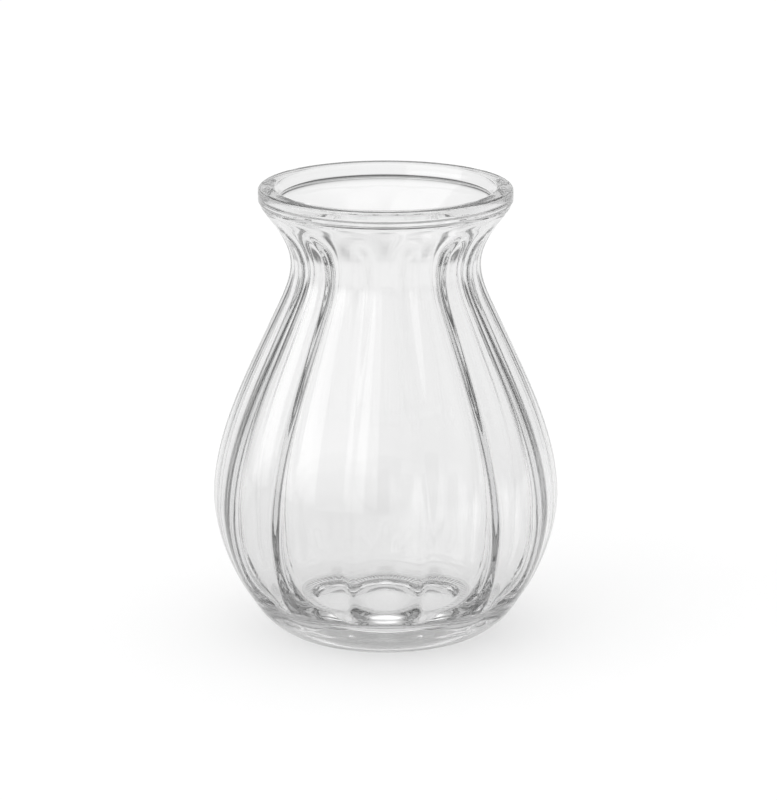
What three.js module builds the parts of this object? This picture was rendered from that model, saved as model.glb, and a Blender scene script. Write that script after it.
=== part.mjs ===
// A clear glass bud vase: a pear-shaped body with twelve soft vertical flutes on a thick base,
// a drawn-in neck, a flared throat and a thick lip with round corners over a narrow collar.
// The glass is one casting. Its zones, as the mould shapes them, are stacked on flat faces.
import * as THREE from "three";

// Driving dimensions in millimetres: heights are stacked from the surface that the vase stands on.
const BELLY_HEIGHT = 33;
const SHOULDER_RISE = 35;
const FLANK_RISE = 13;
const THROAT_RISE = 10;
const FLARE_RISE = 14.3;
const NOTCH_HEIGHT = 0.3;
const LIP_HEIGHT = 4;

// Outside radii on the crests of the flutes.
const FOOT_RADIUS = 22;
const BELLY_RADIUS = 41.8;
const SHOULDER_RADIUS = 31.7;
const THROAT_RADIUS = 25.65;
const NECK_RADIUS = 22.85;
const COLLAR_RADIUS = 30;

// Rim, wall and base.
const RIM_OVERHANG = 0.5;
const LIP_WIDTH = 4.1;
const LIP_FOOT = 0.9;
const LIP_CORNER = 0.9;
const MOUTH_CORNER = 0.3;
const MOUTH_DROP = 2.8;
const MOUTH_INSET = 1.1;
const UNDERCUT = 0.4;
const NOTCH_DEPTH = 0.15;
const COLLAR_BAND = 2.2;
const RIM_WALL = 4.7;
const WALL = 2.9;
const FLOOR_THICKNESS = 9;
const FLOOR_RADIUS = 19;
const STANDING_WIDTH = 4.2;
const PUNT_DEPTH = 6.5;
const BASE_ZONE = 16;

// Flutes: convex panels that meet in faint grooves outside and in cusps inside.
// Outside they start above the foot and inside above the floor, and both run out under the collar.
const FLUTE_COUNT = 12;
const OUTER_GROOVE = 0.7;
const INNER_GROOVE = 2.2;
const OUTER_SOFTNESS = 0.3;
const INNER_SOFTNESS = 0.25;
const GROOVE_TAPER = 0.35;
const FOOT_START = 5;
const FOOT_RUNOUT = 3.5;
const FLOOR_START = 0.5;
const FLOOR_RUNOUT = 4;
const COLLAR_RUNOUT = 8;

// Resolution: facets across one flute, and rings of facets up each stretch of wall.
const FACETS_PER_FLUTE = 4;
const WALL_RINGS = 6;
const BAND_RINGS = 2;
const CORNER_RINGS = 3;
const PUNT_RINGS = 4;

// Roundness of the heel and of the inside of the base, as the two powers of a superellipse.
const HEEL_POWER = 1.7;
const HEEL_RISE = 1.7;
const BOWL_POWER = 3;
const BOWL_RISE = 2;
// The punt is a shallow dome of this power, and rings of facets crowd to the floor by the same power.
const DOME_POWER = 2;
// The throat leaves the collar this much steeper than the straight line from the neck.
const FLARE_STEEPNESS = 1.4;
// Slope of the inside just under the undercut, and the short rise over which its slope below is taken.
const MOUTH_LEAN = 0.25;
const SLOPE_STEP = 0.02;

const shoulderLevel = BELLY_HEIGHT + SHOULDER_RISE;
const throatLevel = shoulderLevel + FLANK_RISE;
const neckLevel = throatLevel + THROAT_RISE;
const collarLevel = neckLevel + FLARE_RISE;
const lipLevel = collarLevel + NOTCH_HEIGHT;
const lipTop = lipLevel + LIP_HEIGHT;
const rimLevel = collarLevel - COLLAR_BAND;
const bellyTop = BELLY_HEIGHT + SHOULDER_RISE / 2;
const rimRadius = COLLAR_RADIUS + RIM_OVERHANG;
const mouthRadius = rimRadius - LIP_WIDTH;
const creaseRadius = mouthRadius - MOUTH_INSET;
const creaseLevel = lipTop - MOUTH_DROP;
const flankSlope = (THROAT_RADIUS - SHOULDER_RADIUS) / FLANK_RISE;
const flareSlope = (FLARE_STEEPNESS * (COLLAR_RADIUS - NECK_RADIUS)) / FLARE_RISE;

const smooth = THREE.MathUtils.smoothstep;

// Cubic from (z0, r0) to (z1, r1) that leaves and arrives at the given slopes.
function ease(z, z0, r0, slope0, z1, r1, slope1) {
  const span = z1 - z0;
  const t = (z - z0) / span;
  const rise = t * t * (3 - 2 * t);
  const leave = t * (1 - t) * (1 - t);
  const arrive = t * t * (t - 1);
  return r0 + (r1 - r0) * rise + span * (slope0 * leave + slope1 * arrive);
}

// Superellipse that starts at radius r0 on the level z0 and turns upright at r1 on the level z1.
function swell(z, z0, r0, z1, r1, power, rise) {
  const below = Math.min(Math.max((z1 - z) / (z1 - z0), 0), 1);
  return r0 + (r1 - r0) * (1 - below ** rise) ** (1 / power);
}

// Outside radius on a crest, from the foot to the collar.
function outerRadius(z) {
  if (z <= BELLY_HEIGHT) {
    return swell(z, 0, FOOT_RADIUS, BELLY_HEIGHT, BELLY_RADIUS, HEEL_POWER, HEEL_RISE);
  }
  if (z <= shoulderLevel) {
    return ease(z, BELLY_HEIGHT, BELLY_RADIUS, 0, shoulderLevel, SHOULDER_RADIUS, flankSlope);
  }
  if (z <= throatLevel) return SHOULDER_RADIUS + flankSlope * (z - shoulderLevel);
  if (z <= neckLevel) {
    return ease(z, throatLevel, THROAT_RADIUS, flankSlope, neckLevel, NECK_RADIUS, 0);
  }
  return ease(z, neckLevel, NECK_RADIUS, 0, collarLevel, COLLAR_RADIUS, flareSlope);
}

// Inside radius: a bowl up to the widest level, an even wall to the neck, and a thicker wall to the rim.
function innerRadius(z) {
  if (z > BELLY_HEIGHT) {
    return outerRadius(z) - WALL - (RIM_WALL - WALL) * smooth(z, neckLevel, collarLevel);
  }
  const widest = BELLY_RADIUS - WALL;
  return swell(z, FLOOR_THICKNESS, FLOOR_RADIUS, BELLY_HEIGHT, widest, BOWL_POWER, BOWL_RISE);
}

// Share of the full groove depth: nothing below its start and on the collar, less where it is narrow.
function grooveDepth(z, radius, start, runout) {
  const fromStart = smooth(z, start, start + runout);
  const fromCollar = 1 - smooth(z, collarLevel - COLLAR_RUNOUT, rimLevel);
  return fromStart * fromCollar * (radius / BELLY_RADIUS) ** GROOVE_TAPER;
}

function outerPoint(z) {
  const radius = outerRadius(z);
  const groove = OUTER_GROOVE * grooveDepth(z, radius, FOOT_START, FOOT_RUNOUT);
  return { radius, z, groove, softness: OUTER_SOFTNESS };
}

function innerPoint(z) {
  const radius = innerRadius(z);
  const start = FLOOR_THICKNESS + FLOOR_START;
  const groove = INNER_GROOVE * grooveDepth(z, radius, start, FLOOR_RUNOUT);
  return { radius, z, groove, softness: INNER_SOFTNESS };
}

function plainPoint(radius, z) {
  return { radius, z, groove: 0, softness: INNER_SOFTNESS };
}

// Inside of the rim: it runs on from the neck's wall and eases up to the undercut.
function throatPoint(z) {
  const start = innerRadius(rimLevel);
  const slope = (start - innerRadius(rimLevel - SLOPE_STEP)) / SLOPE_STEP;
  const end = creaseRadius + UNDERCUT;
  return plainPoint(ease(z, rimLevel, start, slope, creaseLevel - UNDERCUT, end, MOUTH_LEAN), z);
}

// Depth share across a panel: 0 on the crest and 1 in the groove, with the groove's tip rounded.
function grooveShare(angle, softness) {
  const across = Math.cos((FLUTE_COUNT * angle) / 2);
  const crest = Math.hypot(1, softness) - softness;
  return 1 - (Math.hypot(across, softness) - softness) / crest;
}

// Carries a section round the axis. The section closes on itself, or starts and ends on the axis.
function carryRound(section, closed) {
  const around = FLUTE_COUNT * FACETS_PER_FLUTE;
  const positions = [];
  const triangles = [];
  for (const { radius, z, groove, softness } of section) {
    for (let step = 0; step < around; step += 1) {
      const angle = (2 * Math.PI * step) / around;
      const reach = radius - groove * grooveShare(angle, softness);
      positions.push(reach * Math.cos(angle), reach * Math.sin(angle), z);
    }
  }
  const bands = closed ? section.length : section.length - 1;
  for (let band = 0; band < bands; band += 1) {
    const next = (band + 1) % section.length;
    for (let step = 0; step < around; step += 1) {
      const beside = (step + 1) % around;
      const near = band * around + step;
      const nearBeside = band * around + beside;
      const far = next * around + step;
      const farBeside = next * around + beside;
      if (section[band].radius > 0) triangles.push(near, nearBeside, farBeside);
      if (section[next].radius > 0) triangles.push(near, farBeside, far);
    }
  }
  const geometry = new THREE.BufferGeometry();
  geometry.setAttribute("position", new THREE.Float32BufferAttribute(positions, 3));
  geometry.setIndex(triangles);
  geometry.computeVertexNormals();
  return geometry;
}

// Points from one level to another, both ends among them.
function levels(point, from, to, rings) {
  return Array.from({ length: rings + 1 }, (_, ring) => point(from + ((to - from) * ring) / rings));
}

// A ring of wall between two levels, with flat faces above and below.
function wallZone(bottom, top) {
  const outside = levels(outerPoint, bottom, top, WALL_RINGS);
  const inside = levels(innerPoint, top, bottom, WALL_RINGS);
  return carryRound([...outside, ...inside], true);
}

// The base: a shallow punt inside the standing ring, the round heel and the bowl of the inside.
function baseZone() {
  const puntRadius = FOOT_RADIUS - STANDING_WIDTH;
  const punt = levels(
    (share) => plainPoint(puntRadius * share, PUNT_DEPTH * (1 - share ** DOME_POWER)),
    0,
    1,
    PUNT_RINGS,
  );
  const heel = levels((share) => outerPoint(BASE_ZONE * share ** DOME_POWER), 0, 1, WALL_RINGS);
  const bowlRise = BASE_ZONE - FLOOR_THICKNESS;
  const bowl = levels(
    (share) => innerPoint(FLOOR_THICKNESS + bowlRise * share ** DOME_POWER),
    1,
    0,
    WALL_RINGS,
  );
  return carryRound([...punt, ...heel, ...bowl, plainPoint(0, FLOOR_THICKNESS)], false);
}

// Quarter of a round corner about a centre, from a starting angle on.
function corner(radius, z, size, start) {
  const onArc = (turn) => plainPoint(radius + size * Math.cos(turn), z + size * Math.sin(turn));
  return levels(onArc, start, start + Math.PI / 2, CORNER_RINGS);
}

// The rim: the collar's band, the notch over it, the lip, and the mouth's cone down to a small undercut.
function rimZone() {
  return carryRound(
    [
      ...levels(outerPoint, rimLevel, collarLevel, BAND_RINGS),
      plainPoint(COLLAR_RADIUS - NOTCH_DEPTH, collarLevel + NOTCH_HEIGHT / 2),
      plainPoint(rimRadius - LIP_FOOT / 2, lipLevel),
      plainPoint(rimRadius, lipLevel + LIP_FOOT),
      ...corner(rimRadius - LIP_CORNER, lipTop - LIP_CORNER, LIP_CORNER, 0),
      ...corner(mouthRadius + MOUTH_CORNER, lipTop - MOUTH_CORNER, MOUTH_CORNER, Math.PI / 2),
      plainPoint(creaseRadius, creaseLevel),
      ...levels(throatPoint, creaseLevel - UNDERCUT, rimLevel, BAND_RINGS),
    ],
    true,
  );
}

// Clear soda-lime glass with a trace of green-grey.
function glassMesh(name, geometry) {
  const glass = new THREE.MeshStandardMaterial({ color: 0xe9eeec, roughness: 0.04, metalness: 0 });
  glass.transparent = true;
  glass.opacity = 0.35;
  const mesh = new THREE.Mesh(geometry, glass);
  mesh.name = name;
  return mesh;
}

const vase = new THREE.Group();
vase.add(glassMesh("base", baseZone()));
vase.add(glassMesh("belly", wallZone(BASE_ZONE, bellyTop)));
vase.add(glassMesh("shoulder", wallZone(bellyTop, throatLevel)));
vase.add(glassMesh("neck", wallZone(throatLevel, rimLevel)));
vase.add(glassMesh("rim", rimZone()));

export default vase;
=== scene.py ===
"""Clear glass bud vase: one fluted glass wall on a pale floor under soft studio light."""

import logging
import math
from dataclasses import dataclass
from enum import Enum

import bpy
import numpy as np
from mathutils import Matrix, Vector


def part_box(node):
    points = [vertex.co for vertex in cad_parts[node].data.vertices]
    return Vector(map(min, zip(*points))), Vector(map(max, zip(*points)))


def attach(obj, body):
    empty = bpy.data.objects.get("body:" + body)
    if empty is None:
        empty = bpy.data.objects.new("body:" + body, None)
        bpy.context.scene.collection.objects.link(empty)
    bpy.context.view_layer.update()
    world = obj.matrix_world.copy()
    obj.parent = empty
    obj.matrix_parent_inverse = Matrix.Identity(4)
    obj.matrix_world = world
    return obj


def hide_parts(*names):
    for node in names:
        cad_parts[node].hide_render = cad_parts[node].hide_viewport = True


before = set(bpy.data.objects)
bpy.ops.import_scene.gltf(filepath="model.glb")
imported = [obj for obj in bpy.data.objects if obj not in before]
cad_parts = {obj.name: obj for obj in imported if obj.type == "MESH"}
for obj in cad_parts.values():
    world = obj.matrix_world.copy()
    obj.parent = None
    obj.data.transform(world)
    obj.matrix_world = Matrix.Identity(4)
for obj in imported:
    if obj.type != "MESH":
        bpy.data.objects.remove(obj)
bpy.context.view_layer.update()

MM = 0.001
IMAGE_HEIGHT = 800
LIGHT_BOUNCES = 24
AVERAGE_REACH = 3.0
WHITE = (1.0, 1.0, 1.0, 1.0)

Span = tuple[float, float]
Knot = tuple[float, float, float]
Socket = bpy.types.NodeSocket

log = logging.getLogger("bud_vase")


class Side(Enum):
    """The two faces of the glass wall, each with its own flute section."""

    OUTSIDE = "outside"
    INSIDE = "inside"


class Ramp(Enum):
    """Ways for a value to go from one level to another."""

    LINEAR = "LINEAR"
    SMOOTH = "SMOOTHSTEP"


def smooth(x: np.ndarray, low: float, high: float) -> np.ndarray:
    """Smooth step: 0 below low, 1 above high, and 3t^2 - 2t^3 between them.

    Args:
        x: Values to test.
        low: Where the step starts.
        high: Where the step ends.

    Returns:
        The step, of the same shape as x.
    """
    t = np.clip((np.asarray(x, float) - low) / (high - low), 0.0, 1.0)
    return t * t * (3.0 - 2.0 * t)


def ease(z: np.ndarray, start: Knot, end: Knot) -> np.ndarray:
    """Cubic between two points with a given slope at each.

    The radius is r0 + (r1 - r0)(3t^2 - 2t^3) + span (s0 t (1-t)^2 + s1 t^2 (t-1)), where t runs
    from 0 to 1 over the span of height.

    Args:
        z: Heights.
        start: Height, radius and slope at the start.
        end: Height, radius and slope at the end.

    Returns:
        The radius at each height.
    """
    z0, r0, s0 = start
    z1, r1, s1 = end
    span = z1 - z0
    t = (z - z0) / span
    rise = t * t * (3.0 - 2.0 * t)
    return r0 + (r1 - r0) * rise + span * (s0 * t * (1.0 - t) ** 2 + s1 * t * t * (t - 1.0))


def swell(z: np.ndarray, start: Span, end: Span, power: float, rise: float) -> np.ndarray:
    """Superellipse that leaves the radius r0 at z0 and turns upright at r1 on the level z1.

    The radius is r0 + (r1 - r0)(1 - b^rise)^(1/power), where b is the share of the height to go.

    Args:
        z: Heights.
        start: Height and radius at the start.
        end: Height and radius at the end.
        power: Power of the radius in the superellipse.
        rise: Power of the height in the superellipse.

    Returns:
        The radius at each height.
    """
    (z0, r0), (z1, r1) = start, end
    below = np.clip((z1 - z) / (z1 - z0), 0.0, 1.0)
    return r0 + (r1 - r0) * (1.0 - below**rise) ** (1.0 / power)


def soften(
    radius: np.ndarray, height: np.ndarray, step: float, width: float
) -> tuple[np.ndarray, np.ndarray]:
    """Sample an outline at even steps and round its corners with a Gaussian moving average.

    Args:
        radius: Radii along the outline.
        height: Heights along the outline.
        step: Distance between the new points.
        width: Spread of the average, which reaches three spreads each way.

    Returns:
        Radii and heights of the rounded outline, with both ends kept.
    """
    run = np.concatenate([[0.0], np.cumsum(np.hypot(np.diff(radius), np.diff(height)))])
    even = np.linspace(0.0, run[-1], int(round(run[-1] / step)) + 1)
    reach = int(math.ceil(AVERAGE_REACH * width / step))
    kernel = np.exp(-0.5 * (np.arange(-reach, reach + 1) * step / width) ** 2)
    kernel /= kernel.sum()
    outline = np.stack([np.interp(even, run, radius), np.interp(even, run, height)])
    padded = np.pad(outline, ((0, 0), (reach, reach)), mode="reflect", reflect_type="odd")
    new_radius, new_height = (np.convolve(row, kernel, mode="valid") for row in padded)
    return new_radius, new_height


@dataclass(frozen=True)
class Nodes:
    """Short ways to add shader nodes to one material or world and to join them."""

    owner: bpy.types.ID

    def add(self, kind: str, **settings: object) -> bpy.types.Node:
        """Add a shader node and set its plain properties.

        Args:
            kind: Node type without the ShaderNode prefix.
            settings: Properties to set on the node.

        Returns:
            The new node.
        """
        made = self.owner.node_tree.nodes.new("ShaderNode" + kind)
        for name, value in settings.items():
            setattr(made, name, value)
        return made

    def feed(self, target: Socket, source: Socket | float) -> None:
        """Join a socket to its source, or set a plain number on it.

        Args:
            target: Socket to feed.
            source: Socket to join to it, or a number to set.
        """
        if isinstance(source, Socket):
            self.owner.node_tree.links.new(source, target)
        else:
            target.default_value = source

    def calc(self, operation: str, *values: Socket | float) -> Socket:
        """Work out a number from one or two others.

        Args:
            operation: Operation of a Math node.
            values: Sockets or plain numbers, in the operation's order.

        Returns:
            The socket with the result.
        """
        made = self.add("Math", operation=operation)
        for target, value in zip(made.inputs, values):
            self.feed(target, value)
        return made.outputs["Value"]

    def length(self, vector: Socket) -> Socket:
        """Measure a vector.

        Args:
            vector: Socket with the vector.

        Returns:
            The socket with its length.
        """
        made = self.add("VectorMath", operation="LENGTH")
        self.feed(made.inputs[0], vector)
        return made.outputs["Value"]

    def mix(self, share: Socket, first: Socket | float, second: Socket | float) -> Socket:
        """Go from the first number to the second as the share goes from 0 to 1.

        Args:
            share: Share of the second number.
            first: Result at a share of 0.
            second: Result at a share of 1.

        Returns:
            The socket with the result.
        """
        made = self.add("Mix", data_type="FLOAT")
        self.feed(made.inputs["Factor"], share)
        self.feed(made.inputs["A"], first)
        self.feed(made.inputs["B"], second)
        return made.outputs["Result"]

    def ramp(self, value: Socket, reach: Span, levels: Span, way: Ramp = Ramp.SMOOTH) -> Socket:
        """Go from one level to another while a value crosses a reach.

        Args:
            value: Value to test.
            reach: Where the ramp starts and ends.
            levels: Results before and after the reach.
            way: Form of the ramp.

        Returns:
            The socket with the result.
        """
        made = self.add("MapRange", interpolation_type=way.value)
        self.feed(made.inputs["Value"], value)
        for name, number in zip(("From Min", "From Max", "To Min", "To Max"), (*reach, *levels)):
            made.inputs[name].default_value = number
        return made.outputs["Result"]


@dataclass(frozen=True)
class ClearGlass:
    """Clear fire-polished soda-lime glass with faint drawn ripples, grey where it is thick."""

    ior: float = 1.5
    tint: tuple[float, float, float, float] = (0.65, 0.65, 0.65, 1.0)
    density: float = 27.0
    ripple_height: float = 0.02 * MM
    ripple_strength: float = 0.05
    ripple_scale: tuple[float, float, float] = (90.0, 90.0, 14.0)
    ripple_detail: float = 1.0
    polish: Span = (0.0, 0.02)
    bloom_scale: float = 60.0
    bloom_reach: Span = (0.45, 0.75)
    frost: float = 0.4
    frost_inside: float = 17.5 * MM
    frost_height: float = 0.4 * MM

    def material(self) -> bpy.types.Material:
        """Build the glass with its own shader nodes.

        Returns:
            The material.
        """
        glass = bpy.data.materials.new("clear_glass")
        glass.use_nodes = True
        nodes = Nodes(glass)
        body = glass.node_tree.nodes["Principled BSDF"]
        output = glass.node_tree.nodes["Material Output"]
        body.inputs["Base Color"].default_value = WHITE
        body.inputs["Transmission Weight"].default_value = 1.0
        body.inputs["IOR"].default_value = self.ior
        place = nodes.add("TexCoord").outputs["Object"]
        nodes.feed(body.inputs["Roughness"], self.roughness(nodes, place))
        nodes.feed(body.inputs["Normal"], self.ripples(nodes, place))
        depth = nodes.add("VolumeAbsorption")
        depth.inputs["Color"].default_value = self.tint
        depth.inputs["Density"].default_value = self.density
        nodes.feed(output.inputs["Volume"], depth.outputs["Volume"])
        return glass

    def roughness(self, nodes: Nodes, place: Socket) -> Socket:
        """Faint bloom on the polish, and frost on the ring that the vase stands on.

        Args:
            nodes: Nodes of the glass.
            place: Point on the glass.

        Returns:
            The socket with the roughness.
        """
        bloom = nodes.add("TexNoise")
        bloom.inputs["Scale"].default_value = self.bloom_scale
        nodes.feed(bloom.inputs["Vector"], place)
        polish = nodes.ramp(bloom.outputs["Fac"], self.bloom_reach, self.polish, Ramp.LINEAR)
        split = nodes.add("SeparateXYZ")
        nodes.feed(split.inputs["Vector"], place)
        low = nodes.calc("LESS_THAN", split.outputs["Z"], self.frost_height)
        flat = nodes.add("VectorMath", operation="MULTIPLY")
        flat.inputs[1].default_value = (1.0, 1.0, 0.0)
        nodes.feed(flat.inputs[0], place)
        wide = nodes.calc("GREATER_THAN", nodes.length(flat.outputs["Vector"]), self.frost_inside)
        return nodes.mix(nodes.calc("MULTIPLY", low, wide), polish, self.frost)

    def ripples(self, nodes: Nodes, place: Socket) -> Socket:
        """Long shallow ripples, drawn out along the height.

        Args:
            nodes: Nodes of the glass.
            place: Point on the glass.

        Returns:
            The socket with the bent normal.
        """
        stretch = nodes.add("Mapping")
        stretch.inputs["Scale"].default_value = self.ripple_scale
        nodes.feed(stretch.inputs["Vector"], place)
        ripple = nodes.add("TexNoise")
        ripple.inputs["Scale"].default_value = 1.0
        ripple.inputs["Detail"].default_value = self.ripple_detail
        nodes.feed(ripple.inputs["Vector"], stretch.outputs["Vector"])
        bump = nodes.add("Bump")
        bump.inputs["Strength"].default_value = self.ripple_strength
        bump.inputs["Distance"].default_value = self.ripple_height
        nodes.feed(bump.inputs["Height"], ripple.outputs["Fac"])
        return bump.outputs["Normal"]


@dataclass(frozen=True)
class PalePaper:
    """Matt pale paper, lifted to white for the camera; for the glass, white with painted shade
    round the vase.
    """

    albedo: float = 0.33
    lift: float = 0.6
    glow: float = 0.94
    far: float = 0.35
    far_reach: Span = (0.5, 2.0)
    # Painted shade: the white that the glass sees is this much darker round the vase, as its
    # shadow.
    painted_shade: float = 0.85
    painted_shade_reach: Span = (0.03, 0.2)

    def material(self) -> bpy.types.Material:
        """Build the paper with its own shader nodes.

        Returns:
            The material.
        """
        paper = bpy.data.materials.new("pale_paper")
        paper.use_nodes = True
        nodes = Nodes(paper)
        paint = paper.node_tree.nodes["Principled BSDF"]
        output = paper.node_tree.nodes["Material Output"]
        paint.inputs["Base Color"].default_value = (self.albedo, self.albedo, self.albedo, 1.0)
        paint.inputs["Roughness"].default_value = 1.0
        paint.inputs["Specular IOR Level"].default_value = 0.0
        paint.inputs["Emission Color"].default_value = WHITE
        rays = nodes.add("LightPath").outputs
        lift = nodes.calc("MULTIPLY", rays["Is Camera Ray"], self.lift)
        nodes.feed(paint.inputs["Emission Strength"], lift)
        shine = nodes.add("Emission")
        nodes.feed(shine.inputs["Strength"], self.level(nodes, rays["Is Reflection Ray"]))
        mix = nodes.add("MixShader")
        bent = nodes.calc("MAXIMUM", rays["Is Glossy Ray"], rays["Is Transmission Ray"])
        nodes.feed(mix.inputs["Fac"], bent)
        nodes.feed(mix.inputs[1], paint.outputs["BSDF"])
        nodes.feed(mix.inputs[2], shine.outputs["Emission"])
        nodes.feed(output.inputs["Surface"], mix.outputs["Shader"])
        return paper

    def level(self, nodes: Nodes, mirrored: Socket) -> Socket:
        """White that the glass shows: painted shade round the vase, and dimmer far off for bent
        rays.

        Args:
            nodes: Nodes of the paper.
            mirrored: Is 1 for a ray that the glass mirrors, and 0 for one that it bends.

        Returns:
            The socket with the level.
        """
        away = nodes.length(nodes.add("TexCoord").outputs["Object"])
        fade = nodes.ramp(away, self.far_reach, (self.glow, self.far))
        # Painted shade of the vase on the white that the glass sees.
        painted_shade = nodes.ramp(away, self.painted_shade_reach, (self.painted_shade, 1.0))
        return nodes.calc("MULTIPLY", nodes.mix(mirrored, fade, self.glow), painted_shade)


@dataclass(frozen=True)
class Flutes:
    """Twelve convex panels: faint grooves outside, and cusps inside where the panels meet."""

    count: int = 12
    outer_groove: float = 0.7 * MM
    inner_groove: float = 2.2 * MM
    outer_softness: float = 0.3
    inner_softness: float = 0.25
    foot_start: float = 5.0 * MM
    foot_runout: float = 3.5 * MM
    floor_start: float = 0.5 * MM
    floor_runout: float = 4.0 * MM
    collar_runout: float = 8.0 * MM
    taper: float = 0.35
    steps: int = 30
    crowding: float = 0.5

    def angles(self) -> np.ndarray:
        """Angles round the axis, closer together in the grooves.

        Across one panel the share t from -1 to 1 goes to t + c sin(pi t)/pi, so the step narrows
        by 1 - c at each groove.

        Returns:
            The angles from the crest on -Y, in radians.
        """
        share = np.linspace(-1.0, 1.0, self.steps, endpoint=False)
        across = share + self.crowding * np.sin(np.pi * share) / np.pi
        pitch = 2.0 * np.pi / self.count
        panels = np.arange(self.count)[:, None] * pitch
        return (panels + across[None, :] * pitch / 2.0).ravel()

    def share(self, angle: np.ndarray, side: Side) -> np.ndarray:
        """Depth share across a panel: 0 on the crest and 1 in the groove.

        It is 1 - (sqrt(c^2 + e^2) - e)/(sqrt(1 + e^2) - e), where c is the cosine of half the
        panel's turn and e rounds the tip of the groove.

        Args:
            angle: Angles from a crest.
            side: Face of the wall.

        Returns:
            The share at each angle.
        """
        softness = self.outer_softness if side is Side.OUTSIDE else self.inner_softness
        across = np.cos(self.count * angle / 2.0)
        crest = math.hypot(1.0, softness) - softness
        return 1.0 - (np.hypot(across, softness) - softness) / crest


@dataclass(frozen=True)
class Section:
    """Section of the glass, one value a ring from the punt's middle to the floor's middle."""

    radius: np.ndarray
    height: np.ndarray
    groove: np.ndarray
    outer: np.ndarray
    knurl: np.ndarray


@dataclass
class VaseGlass:
    """The whole glass wall: punt, heel, fluted body, collar, lip, inside and floor.

    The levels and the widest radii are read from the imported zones, and the rest are real sizes.
    """

    # Flutes, then heights and outside radii on their crests.
    flutes: Flutes = Flutes()
    belly_height: float = 33.0 * MM
    flank_rise: float = 13.0 * MM
    throat_rise: float = 10.0 * MM
    foot_radius: float = 22.0 * MM
    shoulder_radius: float = 31.7 * MM
    throat_radius: float = 25.65 * MM
    neck_radius: float = 22.85 * MM
    # Collar, notch, lip and mouth.
    collar_band: float = 2.2 * MM
    notch_height: float = 0.3 * MM
    notch_depth: float = 0.15 * MM
    rim_overhang: float = 0.5 * MM
    rim_wall: float = 4.7 * MM
    lip_width: float = 4.1 * MM
    lip_foot: float = 0.9 * MM
    lip_corner: float = 0.9 * MM
    mouth_corner: float = 0.3 * MM
    mouth_drop: float = 2.8 * MM
    mouth_inset: float = 1.1 * MM
    mouth_lean: float = 0.25
    undercut: float = 0.4 * MM
    rounding: float = 0.15 * MM
    # Wall, floor and foot, with the ring and the knurl that the mould leaves.
    wall: float = 2.9 * MM
    floor_thickness: float = 9.0 * MM
    floor_radius: float = 19.0 * MM
    standing_width: float = 4.2 * MM
    punt_depth: float = 6.5 * MM
    joint_height: float = 5.5 * MM
    joint_depth: float = 0.12 * MM
    joint_width: float = 0.45 * MM
    knurl_count: int = 60
    knurl_depth: float = 0.25 * MM
    # Powers and steepness of the curves.
    heel_power: float = 1.7
    heel_rise: float = 1.7
    bowl_power: float = 3.0
    bowl_rise: float = 2.0
    dome_power: float = 2.0
    flare_steepness: float = 1.4
    # Rings of the grid, and points of the rim's outline before it is rounded.
    heel_zone: float = 8.0 * MM
    heel_crowding: float = 1.5
    heel_rings: int = 30
    side_rings: int = 22
    wall_rings: int = 56
    rim_rings: int = 66
    bowl_rings: int = 26
    floor_rings: int = 8
    knurl_rings: int = 9
    punt_rings: int = 9
    rim_step: float = 0.02 * MM
    band_points: int = 12
    corner_points: int = 12
    throat_points: int = 16

    def __post_init__(self) -> None:
        """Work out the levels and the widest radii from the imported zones."""
        self.belly_radius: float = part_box("belly")[1].x
        self.rim_radius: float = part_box("rim")[1].x
        self.throat_level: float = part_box("neck")[0].z
        self.rim_level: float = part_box("rim")[0].z
        self.lip_level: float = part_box("rim")[1].z
        self.shoulder_level = self.throat_level - self.flank_rise
        self.neck_level = self.throat_level + self.throat_rise
        self.collar_level = self.rim_level + self.collar_band
        self.collar_radius = self.rim_radius - self.rim_overhang
        self.mouth_radius = self.rim_radius - self.lip_width
        self.flank_slope = (self.throat_radius - self.shoulder_radius) / self.flank_rise
        flare_rise = self.collar_level - self.neck_level
        flare_width = self.collar_radius - self.neck_radius
        self.flare_slope = self.flare_steepness * flare_width / flare_rise

    def outside(self, z: np.ndarray) -> np.ndarray:
        """Outside radius on a crest, from the foot to the collar.

        It is a superellipse heel, an eased shoulder, a straight flank, an eased throat and an eased
        flare. A shallow ring, a Gaussian dip of the radius, marks where the mould's bottom plate
        meets its sides.

        Args:
            z: Heights from the foot to the collar.

        Returns:
            The radius at each height.
        """
        belly = (self.belly_height, self.belly_radius)
        shoulder_end = (self.shoulder_level, self.shoulder_radius, self.flank_slope)
        throat_start = (self.throat_level, self.throat_radius, self.flank_slope)
        neck = (self.neck_level, self.neck_radius, 0.0)
        collar = (self.collar_level, self.collar_radius, self.flare_slope)
        joint = self.joint_depth * np.exp(-(((z - self.joint_height) / self.joint_width) ** 2))
        heel = swell(z, (0.0, self.foot_radius), belly, self.heel_power, self.heel_rise) - joint
        shoulder = ease(z, (*belly, 0.0), shoulder_end)
        flank = self.shoulder_radius + self.flank_slope * (z - self.shoulder_level)
        throat = ease(z, throat_start, neck)
        flare = ease(z, neck, collar)
        tops = (self.belly_height, self.shoulder_level, self.throat_level, self.neck_level)
        return np.select([z <= top for top in tops], [heel, shoulder, flank, throat], flare)

    def inside(self, z: np.ndarray) -> np.ndarray:
        """Inside radius: a superellipse bowl to the widest level, then a wall that thickens upward.

        Args:
            z: Heights from the floor to the collar.

        Returns:
            The radius at each height.
        """
        start = (self.floor_thickness, self.floor_radius)
        widest = (self.belly_height, self.belly_radius - self.wall)
        bowl = swell(z, start, widest, self.bowl_power, self.bowl_rise)
        thicker = (self.rim_wall - self.wall) * smooth(z, self.neck_level, self.collar_level)
        return np.where(z > self.belly_height, self.outside(z) - self.wall - thicker, bowl)

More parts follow.
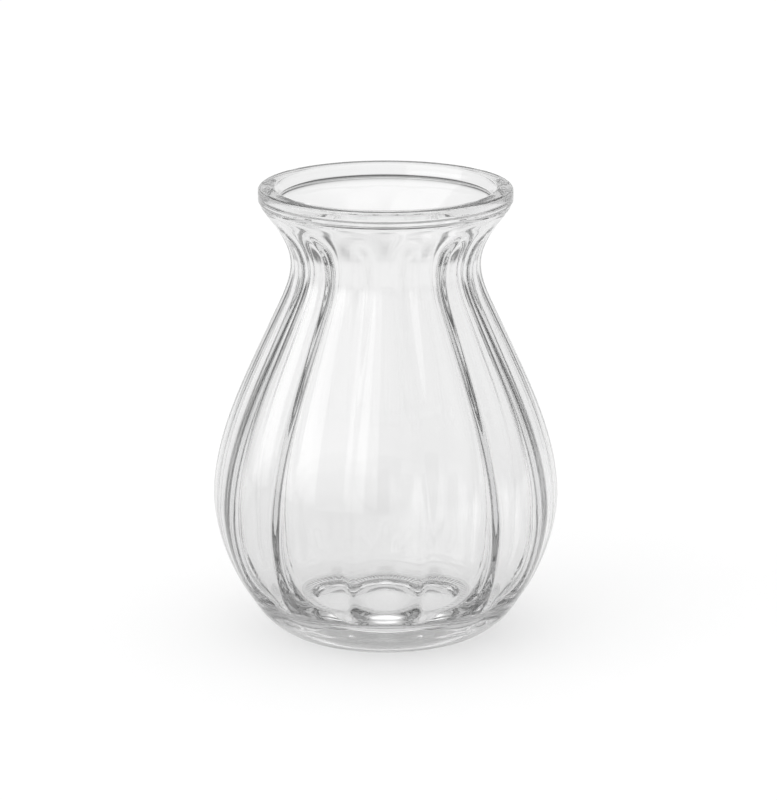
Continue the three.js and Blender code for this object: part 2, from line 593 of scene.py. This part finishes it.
    def groove(self, z: np.ndarray, radius: np.ndarray, side: Side) -> np.ndarray:
        """Groove depth at each height, which follows the radius and runs out at both ends.

        Args:
            z: Heights.
            radius: Radii at these heights.
            side: Face of the wall.

        Returns:
            The depth at each height.
        """
        flutes = self.flutes
        outside = side is Side.OUTSIDE
        full = flutes.outer_groove if outside else flutes.inner_groove
        start = flutes.foot_start if outside else self.floor_thickness + flutes.floor_start
        runout = flutes.foot_runout if outside else flutes.floor_runout
        from_foot = smooth(z, start, start + runout)
        from_collar = 1.0 - smooth(z, self.collar_level - flutes.collar_runout, self.rim_level)
        return full * from_foot * from_collar * (radius / self.belly_radius) ** flutes.taper

    def rim(self) -> tuple[np.ndarray, np.ndarray]:
        """Outline of the rim: collar, notch, lip and the inside down to the same level.

        The lip has an upright outer face, a round outer corner, a level top, a round inner corner
        and a mouth cone that ends in a small undercut. Under it the inside eases down to the neck's
        wall. The whole outline is then rounded as fire polishing rounds it.

        Returns:
            Radii and heights of the outline.
        """
        top = self.lip_level
        foot = self.collar_level + self.notch_height
        crease = top - self.mouth_drop
        under = crease - self.undercut
        mouth = self.mouth_radius - self.mouth_inset
        band = np.linspace(self.rim_level, self.collar_level, self.band_points)
        notch_z = [self.collar_level + self.notch_height / 2.0, foot, foot + self.lip_foot]
        notch_r = [
            self.collar_radius - self.notch_depth,
            self.rim_radius - self.lip_foot / 2.0,
            self.rim_radius,
        ]
        quarter = np.linspace(0.0, np.pi / 2.0, self.corner_points)
        outer_r = self.rim_radius - self.lip_corner * (1.0 - np.cos(quarter))
        outer_z = top - self.lip_corner * (1.0 - np.sin(quarter))
        inner_r = self.mouth_radius + self.mouth_corner * (1.0 - np.sin(quarter))
        inner_z = top - self.mouth_corner * (1.0 - np.cos(quarter))
        wall = self.inside(np.array([self.rim_level - self.rim_step, self.rim_level]))
        start = (self.rim_level, wall[1], (wall[1] - wall[0]) / self.rim_step)
        throat_z = np.linspace(under, self.rim_level, self.throat_points)
        throat_r = ease(throat_z, start, (under, mouth + self.undercut, self.mouth_lean))
        radius = np.concatenate([self.outside(band), notch_r, outer_r, inner_r, [mouth], throat_r])
        height = np.concatenate([band, notch_z, outer_z, inner_z, [crease], throat_z])
        radius, height = soften(radius, height, self.rim_step, self.rounding)
        rings = np.linspace(0.0, radius.size - 1.0, self.rim_rings + 2)[1:-1].round().astype(int)
        return radius[rings], height[rings]

    def section(self) -> Section:
        """Section from the punt's middle up the outside, over the lip and down inside.

        Returns:
            The section.
        """
        punt_edge = self.foot_radius - self.standing_width
        punt = np.linspace(0.0, punt_edge, self.punt_rings)
        punt_z = self.punt_depth * (1.0 - (punt / punt_edge) ** self.dome_power)
        standing = np.linspace(punt_edge, self.foot_radius, self.knurl_rings)[1:-1]

        heel_z = self.heel_zone * np.linspace(0.0, 1.0, self.heel_rings) ** self.heel_crowding
        side_z = np.linspace(self.heel_zone, self.belly_height, self.side_rings)[1:]
        wall_z = np.linspace(self.belly_height, self.rim_level, self.wall_rings)[1:]
        outside_z = np.concatenate([heel_z, side_z, wall_z])
        outside_r = self.outside(outside_z)
        rim_r, rim_z = self.rim()
        turn = np.linspace(np.pi / 2.0, 0.0, self.bowl_rings)
        bowl_rise = self.belly_height - self.floor_thickness
        bowl_z = self.floor_thickness + bowl_rise * (1.0 - np.cos(turn))
        inside_z = np.concatenate([wall_z[::-1], bowl_z])
        inside_r = self.inside(inside_z)
        floor = np.linspace(self.floor_radius, 0.0, self.floor_rings)[1:]
        floor_z = np.full(floor.size, self.floor_thickness)

        radius = np.concatenate([punt, standing, outside_r, rim_r, inside_r, floor])
        foot_z = np.zeros(standing.size)
        height = np.concatenate([punt_z, foot_z, outside_z, rim_z, inside_z, floor_z])
        foot = punt.size + standing.size
        collar = foot + outside_z.size
        mouth = collar + rim_r.size
        groove = np.zeros(radius.size)
        groove[foot:collar] = self.groove(outside_z, outside_r, Side.OUTSIDE)
        groove[mouth : mouth + inside_z.size] = self.groove(inside_z, inside_r, Side.INSIDE)
        outer = np.zeros(radius.size, bool)
        outer[foot:collar] = True
        knurl = np.zeros(radius.size)
        across = (standing - punt_edge) / self.standing_width
        knurl[punt.size : foot] = self.knurl_depth * np.sin(np.pi * across)
        return Section(radius, height, groove, outer, knurl)

    def surface(self) -> tuple[np.ndarray, np.ndarray, np.ndarray]:
        """Carry the section round the axis as a grid of section point by angle.

        Each point lies at the section's radius less the groove depth times the panel's share, at
        the section's height. On the standing ring the height rises by the knurl's depth times
        (1 - cos(n a))/2, where n is the knurl's count and a the angle. The first and last rings
        close to one point on the axis.

        Returns:
            Vertices, four-sided faces and the three-sided faces of both ends.
        """
        section = self.section()
        angle = self.flutes.angles()
        outer_share = self.flutes.share(angle, Side.OUTSIDE)
        inner_share = self.flutes.share(angle, Side.INSIDE)
        share = np.where(section.outer[:, None], outer_share[None, :], inner_share[None, :])
        reach = section.radius[:, None] - section.groove[:, None] * share
        x = reach * np.sin(angle)
        y = -reach * np.cos(angle)
        mark = 0.5 - 0.5 * np.cos(self.knurl_count * angle)
        z = section.height[:, None] + section.knurl[:, None] * mark
        grid = np.stack([x, y, z], axis=-1)
        points = np.concatenate([grid[0, :1], grid[1:-1].reshape(-1, 3), grid[-1, :1]])

        around = angle.size
        rings = section.radius.size - 2
        step = np.arange(around)
        beside = (step + 1) % around
        ring = 1 + np.arange(rings - 1)[:, None] * around
        above = ring + around
        quads = np.stack([ring + step, above + step, above + beside, ring + beside], axis=-1)
        top = 1 + (rings - 1) * around
        first = np.stack([np.zeros_like(step), 1 + step, 1 + beside], axis=-1)
        last = np.stack([np.full_like(step, top + around), top + beside, top + step], axis=-1)
        return points, quads.reshape(-1, 4), np.concatenate([first, last])

    def build(self) -> bpy.types.Object:
        """Make the glass as one closed mesh that stands for every packed zone.

        Returns:
            The glass object.
        """
        points, quads, ends = self.surface()
        mesh = bpy.data.meshes.new("vase_glass")
        mesh.from_pydata(points.tolist(), [], quads.tolist() + ends.tolist())
        mesh.polygons.foreach_set("use_smooth", np.ones(len(mesh.polygons), bool))
        mesh.flip_normals()
        mesh.update()
        glass = bpy.data.objects.new("vase_glass", mesh)
        bpy.context.scene.collection.objects.link(glass)
        return glass

    def dress(self, glass: bpy.types.Object, finish: ClearGlass) -> None:
        """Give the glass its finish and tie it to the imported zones.

        Args:
            glass: The glass object.
            finish: Its finish.
        """
        glass.data.materials.append(finish.material())
        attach(glass, "root")
        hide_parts("base", "belly", "shoulder", "neck", "rim")


@dataclass
class StudioFloor:
    """Plain pale floor, a flat square just under the standing ring."""

    half_width: float = 4.0
    drop: float = 0.2 * MM

    def build(self) -> bpy.types.Object:
        """Make the floor.

        Returns:
            The floor object.
        """
        corner = np.array([[-1, -1], [1, -1], [1, 1], [-1, 1]], float) * self.half_width
        points = np.column_stack([corner, np.full(len(corner), -self.drop)])
        mesh = bpy.data.meshes.new("studio_floor")
        mesh.from_pydata(points.tolist(), [], [(0, 1, 2, 3)])
        floor = bpy.data.objects.new("studio_floor", mesh)
        bpy.context.scene.collection.objects.link(floor)
        return floor

    def dress(self, floor: bpy.types.Object, finish: PalePaper) -> None:
        """Give the floor its finish.

        Args:
            floor: The floor object.
            finish: Its finish.
        """
        floor.data.materials.append(finish.material())


@dataclass
class StudioLight:
    """A white surround for the camera, and soft boxes over and beside a dim room for the glass."""

    horizon: float = 0.1
    room: float = 0.7
    room_reach: Span = (0.06, 0.22)
    overhead: float = 0.95
    overhead_reach: Span = (0.55, 0.82)
    side_box: float = 1.8
    side_middle: float = math.radians(-122.0)
    side_reach: Span = (math.radians(32.0), math.radians(36.0))
    side_bottom: Span = (-0.2, 0.2)
    side_top: Span = (0.3, 0.9)

    def build(self) -> bpy.types.World:
        """Make the world that lights the vase.

        Returns:
            The world.
        """
        world = bpy.data.worlds.new("soft_studio")
        bpy.context.scene.world = world
        world.use_nodes = True
        world.node_tree.nodes.clear()
        nodes = Nodes(world)
        rays = nodes.add("LightPath").outputs
        split = nodes.add("SeparateXYZ")
        nodes.feed(split.inputs["Vector"], nodes.add("TexCoord").outputs["Generated"])
        room = nodes.ramp(split.outputs["Z"], self.room_reach, (self.horizon, self.room))
        around = nodes.mix(rays["Is Reflection Ray"], room, self.room)
        over = nodes.ramp(split.outputs["Z"], self.overhead_reach, (0.0, self.overhead))
        boxes = nodes.calc("ADD", over, self.side_panel(nodes, split))
        level = nodes.calc("ADD", boxes, around)
        sky = nodes.add("Background")
        sky.inputs["Color"].default_value = WHITE
        nodes.feed(sky.inputs["Strength"], nodes.mix(rays["Is Camera Ray"], level, 1.0))
        output = nodes.add("OutputWorld")
        nodes.feed(output.inputs["Surface"], sky.outputs["Background"])
        return world

    def side_panel(self, nodes: Nodes, split: bpy.types.Node) -> Socket:
        """Tall soft box beside the vase, with soft edges all round.

        Args:
            nodes: Nodes of the world.
            split: Node with the parts of a direction.

        Returns:
            The socket with the box's strength in that direction.
        """
        bearing = nodes.calc("ARCTAN2", split.outputs["X"], split.outputs["Y"])
        away = nodes.calc("ABSOLUTE", nodes.calc("SUBTRACT", bearing, self.side_middle))
        beside = nodes.ramp(away, self.side_reach, (self.side_box, 0.0))
        above = nodes.ramp(split.outputs["Z"], self.side_bottom, (0.0, 1.0))
        under = nodes.ramp(split.outputs["Z"], self.side_top, (1.0, 0.0))
        return nodes.calc("MULTIPLY", beside, nodes.calc("MULTIPLY", above, under))


@dataclass
class Viewpoint:
    """Camera in front of the vase and a little above it."""

    distance: float = 0.93
    elevation: float = math.radians(15.34)
    aim_height: float = 0.05668
    aim_side: float = 0.00067
    pixels_per_metre: float = 4133.6
    sensor: float = 36.0
    clip_start: float = 0.01

    def build(self) -> bpy.types.Object:
        """Make the camera and hand it to the scene.

        Returns:
            The camera object.
        """
        lens = bpy.data.cameras.new("viewpoint")
        lens.sensor_fit = "VERTICAL"
        lens.sensor_height = self.sensor
        lens.lens = self.sensor * self.pixels_per_metre * self.distance / IMAGE_HEIGHT
        lens.clip_start = self.clip_start
        camera = bpy.data.objects.new("viewpoint", lens)
        back = self.distance * math.cos(self.elevation)
        up = self.distance * math.sin(self.elevation)
        camera.location = (self.aim_side, -back, self.aim_height + up)
        camera.rotation_euler = (math.pi / 2.0 - self.elevation, 0.0, 0.0)
        bpy.context.scene.collection.objects.link(camera)
        bpy.context.scene.camera = camera
        return camera


def set_light_paths() -> None:
    """Let light pass through every wall of the glass."""
    cycles = bpy.context.scene.cycles
    cycles.max_bounces = LIGHT_BOUNCES
    cycles.transmission_bounces = LIGHT_BOUNCES
    cycles.glossy_bounces = LIGHT_BOUNCES


def main() -> None:
    """Build the viewpoint, the studio and the vase, and report each piece."""
    logging.basicConfig(level=logging.INFO, format="%(name)s: %(message)s")
    bpy.context.scene.view_settings.view_transform = "Standard"
    set_light_paths()
    Viewpoint().build()
    StudioLight().build()
    stage = StudioFloor()
    floor = stage.build()
    stage.dress(floor, PalePaper())
    log.info("stage %s", floor.name)
    vase = VaseGlass()
    glass = vase.build()
    vase.dress(glass, ClearGlass())
    log.info("piece %s: %d faces", glass.name, len(glass.data.polygons))


if __name__ == "__main__":
    main()
